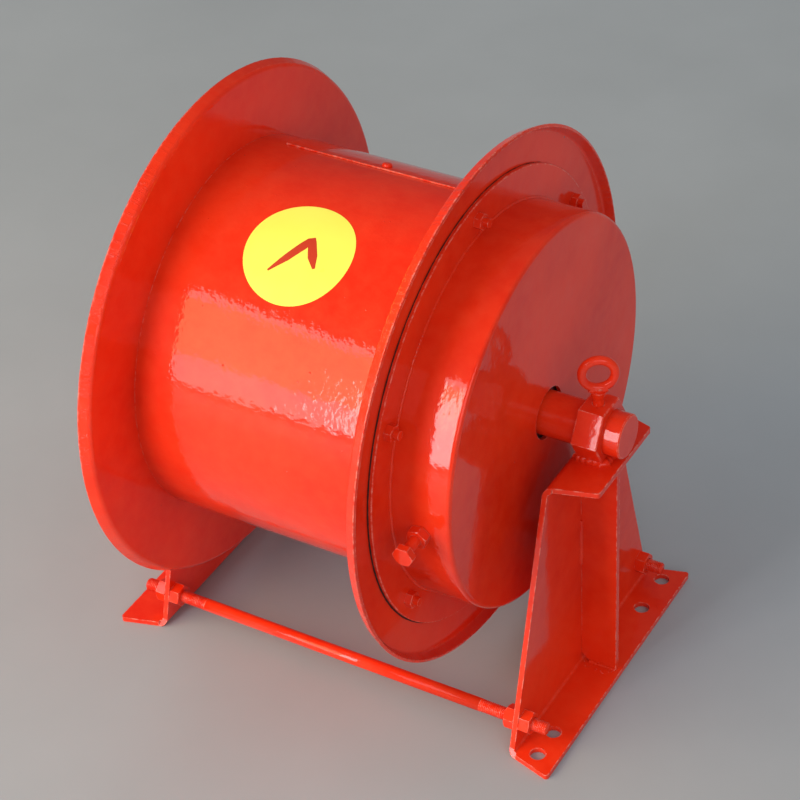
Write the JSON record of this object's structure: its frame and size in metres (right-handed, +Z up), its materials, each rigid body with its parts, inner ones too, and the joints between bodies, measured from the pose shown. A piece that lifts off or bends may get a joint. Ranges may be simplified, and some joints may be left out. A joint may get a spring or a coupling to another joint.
{
  "type": "cable reel",
  "caption": "Red spring-driven cable reel: flanged drum and round spring box on a fixed hollow shaft between two tapered brackets joined by tie rods.",
  "frame": {"origin": "on the floor under the middle of the shaft", "axes": "+X along the shaft towards the spring box, +Y to the back, +Z up"},
  "size_m": [0.46, 0.4796, 0.5158],
  "materials": {
    "red_enamel": "glossy red enamel brushed and sprayed over the assembled steelwork, with orange peel, chips on rims and paint over the welds",
    "machined_steel": "turned steel with fine tool marks and a film of oil",
    "bearing_steel": "ground and polished bearing steel",
    "spring_steel": "blued spring steel strip, oiled",
    "brass": "turned brass, slightly tarnished",
    "insulation": "brown moulded insulating resin",
    "carbon": "dull carbon-graphite block",
    "black_rubber": "soft black rubber"
  },
  "bodies": {
    "frame": {"left_bracket": "red_enamel", "right_bracket": "red_enamel", "left_gusset": "red_enamel", "right_gusset": "red_enamel", "left_shaft_block": "red_enamel", "right_shaft_block": "red_enamel", "left_eye_bolt": "red_enamel", "right_eye_bolt": "red_enamel", "front_tie_rod": "red_enamel", "rear_tie_rod": "red_enamel", "tie_rod_nuts": "red_enamel", "shaft": "red_enamel", "inlet_bush": "black_rubber", "shaft_circlips": "spring_steel", "left_bearing_inner_race": "bearing_steel", "right_bearing_inner_race": "bearing_steel", "spring_arbor": "machined_steel", "arbor_key": "machined_steel", "arbor_spacer": "machined_steel", "slip_ring_sleeve": "insulation", "slip_ring_1": "brass", "slip_ring_2": "brass", "slip_ring_3": "brass", "slip_ring_4": "brass", "ring_washers": "insulation", "stack_collar": "machined_steel"},
    "drum": {"left_flange": "red_enamel", "right_flange": "red_enamel", "barrel": "red_enamel", "access_cover": "red_enamel", "cover_screws": "red_enamel", "cable_bush": "black_rubber", "left_hub": "machined_steel", "bearing_cap": "red_enamel", "shaft_seal": "black_rubber", "right_hub": "machined_steel", "hub_circlip": "spring_steel", "hub_bolts": "red_enamel", "hub_nuts": "machined_steel", "left_bearing_outer_race": "bearing_steel", "right_bearing_outer_race": "bearing_steel", "spring_plate": "red_enamel", "spring_box": "red_enamel", "plate_bolts": "red_enamel", "plate_nuts": "red_enamel", "anchor_bolt": "red_enamel", "anchor_nut": "red_enamel", "spiral_spring": "spring_steel", "brush_post": "machined_steel", "post_nut": "red_enamel", "post_tube": "insulation", "brush_holders": "brass", "brushes": "carbon", "brush_fingers": "spring_steel"},
    "left_rolling": {"left_bearing_balls": "bearing_steel", "left_bearing_cage": "brass"},
    "right_rolling": {"right_bearing_balls": "bearing_steel", "right_bearing_cage": "brass"}
  },
  "joints": [
    {"name": "drum_spin", "type": "hinge", "parent": "frame", "child": "drum", "pos_m": [0, 0, 0.276], "axis": [1, 0, 0], "range_deg": [0, 4410], "stiffness_Nm_per_rad": 0.35, "deforming": ["spiral_spring"]},
    {"name": "left_balls_roll", "type": "hinge", "parent": "frame", "child": "left_rolling", "pos_m": [-0.1401, 0, 0.276], "axis": [1, 0, 0], "range_deg": [0, 2646]},
    {"name": "right_balls_roll", "type": "hinge", "parent": "frame", "child": "right_rolling", "pos_m": [0.0833, 0, 0.276], "axis": [1, 0, 0], "range_deg": [0, 2646]}
  ],
  "couplings": [
    {"joint": "left_balls_roll", "follows": "drum_spin", "ratio": 0.6},
    {"joint": "right_balls_roll", "follows": "drum_spin", "ratio": 0.6}
  ]
}
